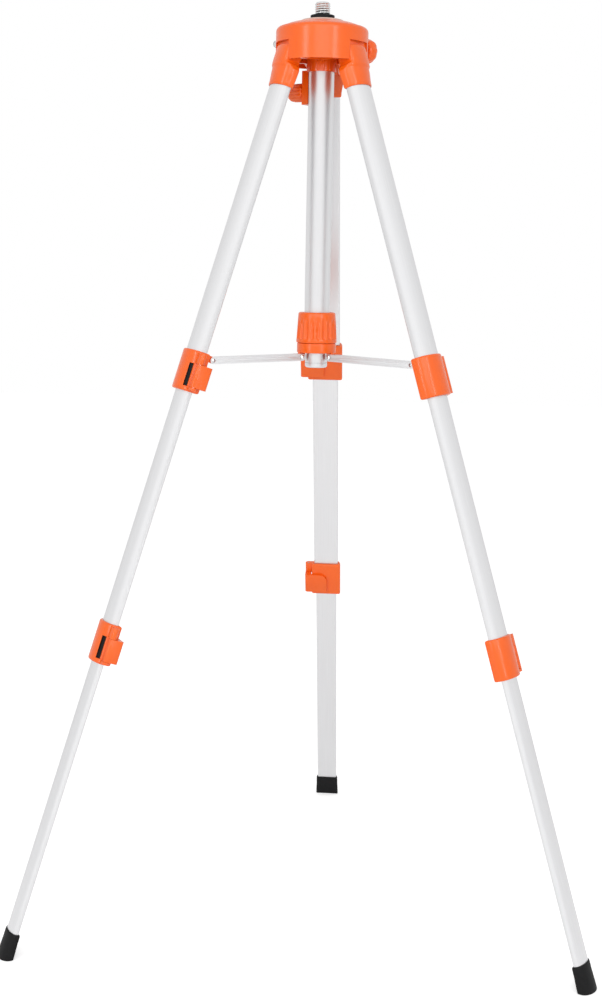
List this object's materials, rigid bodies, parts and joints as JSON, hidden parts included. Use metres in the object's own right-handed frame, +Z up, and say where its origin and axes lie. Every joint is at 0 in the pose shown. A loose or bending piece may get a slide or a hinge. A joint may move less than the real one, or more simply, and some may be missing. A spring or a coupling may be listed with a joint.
{
  "type": "tripod",
  "caption": "Telescopic tripod for a laser level with a domed head, mounting stud, elevating column, flip-lock legs and a sliding spreader",
  "frame": {"origin": "on the floor at the middle of the bounding box; the column's axis stands 83 mm from it towards -Y", "axes": "+Z up, +Y towards the rear leg, -Y the side the picture faces, metres"},
  "size_m": [0.6132, 0.535, 0.9744],
  "materials": {
    "orange_plastic": "satin moulded plastic, light grain",
    "satin_aluminium": "satin anodised extrusion",
    "plated_steel": "bright plated steel",
    "black_rubber": "matt moulded rubber",
    "pale_ring": "pale moulded plastic"
  },
  "bodies": {
    "crown": {"crown": "orange_plastic", "top_ring": "pale_ring", "guide_tube": "satin_aluminium", "leg_pin_left": "plated_steel", "leg_pin_right": "plated_steel", "leg_pin_rear": "plated_steel"},
    "column": {"elevating_column": "satin_aluminium", "column_plug": "satin_aluminium", "mounting_stud": "plated_steel", "stud_washer": "black_rubber"},
    "crown_knob": {"crown_knob": "orange_plastic", "crown_knob_screw": "plated_steel"},
    "column_knob": {"column_knob": "orange_plastic", "column_knob_screw": "plated_steel"},
    "hub": {"spreader_hub": "orange_plastic"},
    "twist_collar": {"twist_collar": "orange_plastic"},
    "leg_left": {"bracket_left": "orange_plastic", "upper_tube_left": "satin_aluminium", "upper_lock_left": "orange_plastic", "upper_lever_pin_left": "plated_steel", "lug_pin_left": "plated_steel"},
    "leg_right": {"bracket_right": "orange_plastic", "upper_tube_right": "satin_aluminium", "upper_lock_right": "orange_plastic", "upper_lever_pin_right": "plated_steel", "lug_pin_right": "plated_steel"},
    "leg_rear": {"bracket_rear": "orange_plastic", "upper_tube_rear": "satin_aluminium", "upper_lock_rear": "orange_plastic", "upper_lever_pin_rear": "plated_steel", "lug_pin_rear": "plated_steel"},
    "strut_left": {"strut_left": "satin_aluminium", "strut_rivet_left": "plated_steel"},
    "strut_right": {"strut_right": "satin_aluminium", "strut_rivet_right": "plated_steel"},
    "strut_rear": {"strut_rear": "satin_aluminium", "strut_rivet_rear": "plated_steel"},
    "middle_left": {"middle_tube_left": "satin_aluminium", "lower_lock_left": "orange_plastic", "lower_lever_pin_left": "plated_steel"},
    "lower_left": {"lower_tube_left": "satin_aluminium", "foot_left": "black_rubber"},
    "upper_lever_left": {"upper_lever_left": "orange_plastic"},
    "lower_lever_left": {"lower_lever_left": "orange_plastic"},
    "middle_right": {"middle_tube_right": "satin_aluminium", "lower_lock_right": "orange_plastic", "lower_lever_pin_right": "plated_steel"},
    "lower_right": {"lower_tube_right": "satin_aluminium", "foot_right": "black_rubber"},
    "upper_lever_right": {"upper_lever_right": "orange_plastic"},
    "lower_lever_right": {"lower_lever_right": "orange_plastic"},
    "middle_rear": {"middle_tube_rear": "satin_aluminium", "lower_lock_rear": "orange_plastic", "lower_lever_pin_rear": "plated_steel"},
    "lower_rear": {"lower_tube_rear": "satin_aluminium", "foot_rear": "black_rubber"},
    "upper_lever_rear": {"upper_lever_rear": "orange_plastic"},
    "lower_lever_rear": {"lower_lever_rear": "orange_plastic"}
  },
  "joints": [
    {"name": "column_lift", "type": "slide", "parent": "crown", "child": "column", "axis": [0, 0, 1], "range_m": [0, 0.25]},
    {"name": "crown_knob_turn", "type": "hinge", "parent": "crown", "child": "crown_knob", "pos_m": [0.02598, -0.06839, 0.93], "axis": [0.866, 0.5, 0], "range_deg": [0, 360]},
    {"name": "column_knob_turn", "type": "hinge", "parent": "crown", "child": "column_knob", "pos_m": [-0.02598, -0.06839, 0.886], "axis": [-0.866, 0.5, 0], "range_deg": [0, 360]},
    {"name": "leg_fold_left", "type": "hinge", "parent": "crown", "child": "leg_left", "pos_m": [-0.03291, -0.10239, 0.934], "axis": [0.5, -0.866, 0], "range_deg": [0, 5]},
    {"name": "leg_fold_right", "type": "hinge", "parent": "crown", "child": "leg_right", "pos_m": [0.03291, -0.10239, 0.934], "axis": [0.5, 0.866, 0], "range_deg": [0, 5]},
    {"name": "leg_fold_rear", "type": "hinge", "parent": "crown", "child": "leg_rear", "pos_m": [0, -0.04539, 0.934], "axis": [-1, 0, 0], "range_deg": [0, 5]},
    {"name": "hub_slide", "type": "slide", "parent": "crown", "child": "hub", "axis": [0, 0, 1], "range_m": [0, 0.06255]},
    {"name": "twist_collar_turn", "type": "hinge", "parent": "hub", "child": "twist_collar", "pos_m": [0, -0.08339, 0.644], "axis": [0, 0, 1], "range_deg": [0, 60]},
    {"name": "strut_swing_left", "type": "hinge", "parent": "hub", "child": "strut_left", "pos_m": [-0.01516, -0.09214, 0.6125], "axis": [0.5, -0.866, 0], "range_deg": [0, 43.06]},
    {"name": "strut_swing_right", "type": "hinge", "parent": "hub", "child": "strut_right", "pos_m": [0.01516, -0.09214, 0.6125], "axis": [0.5, 0.866, 0], "range_deg": [0, 43.06]},
    {"name": "strut_swing_rear", "type": "hinge", "parent": "hub", "child": "strut_rear", "pos_m": [0, -0.06589, 0.6125], "axis": [-1, 0, 0], "range_deg": [0, 43.06]},
    {"name": "middle_slide_left", "type": "slide", "parent": "leg_left", "child": "middle_left", "axis": [-0.2738, -0.1581, -0.9487], "range_m": [-0.235, 0]},
    {"name": "lower_slide_left", "type": "slide", "parent": "middle_left", "child": "lower_left", "axis": [-0.2738, -0.1581, -0.9487], "range_m": [-0.285, 0]},
    {"name": "upper_lever_flip_left", "type": "hinge", "parent": "leg_left", "child": "upper_lever_left", "pos_m": [-0.11317, -0.1769, 0.59591], "axis": [-0.2738, -0.1581, -0.9487], "range_deg": [0, 100]},
    {"name": "lower_lever_flip_left", "type": "hinge", "parent": "middle_left", "child": "lower_lever_left", "pos_m": [-0.19405, -0.22117, 0.31927], "axis": [-0.2738, -0.1581, -0.9487], "range_deg": [0, 100]},
    {"name": "middle_slide_right", "type": "slide", "parent": "leg_right", "child": "middle_right", "axis": [0.2738, -0.1581, -0.9487], "range_m": [-0.235, 0]},
    {"name": "lower_slide_right", "type": "slide", "parent": "middle_right", "child": "lower_right", "axis": [0.2738, -0.1581, -0.9487], "range_m": [-0.285, 0]},
    {"name": "upper_lever_flip_right", "type": "hinge", "parent": "leg_right", "child": "upper_lever_right", "pos_m": [0.13757, -0.13464, 0.59591], "axis": [0.2738, -0.1581, -0.9487], "range_deg": [0, 100]},
    {"name": "lower_lever_flip_right", "type": "hinge", "parent": "middle_right", "child": "lower_lever_right", "pos_m": [0.21635, -0.18255, 0.31927], "axis": [0.2738, -0.1581, -0.9487], "range_deg": [0, 100]},
    {"name": "middle_slide_rear", "type": "slide", "parent": "leg_rear", "child": "middle_rear", "axis": [0, 0.3161, -0.9487], "range_m": [-0.235, 0]},
    {"name": "lower_slide_rear", "type": "slide", "parent": "middle_rear", "child": "lower_rear", "axis": [0, 0.3161, -0.9487], "range_m": [-0.285, 0]},
    {"name": "upper_lever_flip_rear", "type": "hinge", "parent": "leg_rear", "child": "upper_lever_rear", "pos_m": [-0.0244, 0.06137, 0.59591], "axis": [0, 0.3161, -0.9487], "range_deg": [0, 100]},
    {"name": "lower_lever_flip_rear", "type": "hinge", "parent": "middle_rear", "child": "lower_lever_rear", "pos_m": [-0.0223, 0.15356, 0.31927], "axis": [0, 0.3161, -0.9487], "range_deg": [0, 100]}
  ],
  "couplings": [
    {"joint": "leg_fold_right", "follows": "leg_fold_left", "ratio": 1},
    {"joint": "leg_fold_rear", "follows": "leg_fold_left", "ratio": 1},
    {"joint": "hub_slide", "follows": "leg_fold_left", "m_per_rad": 0.71107},
    {"joint": "strut_swing_left", "follows": "leg_fold_left", "ratio": 8.5928},
    {"joint": "strut_swing_right", "follows": "leg_fold_left", "ratio": 8.5928},
    {"joint": "strut_swing_rear", "follows": "leg_fold_left", "ratio": 8.5928}
  ]
}
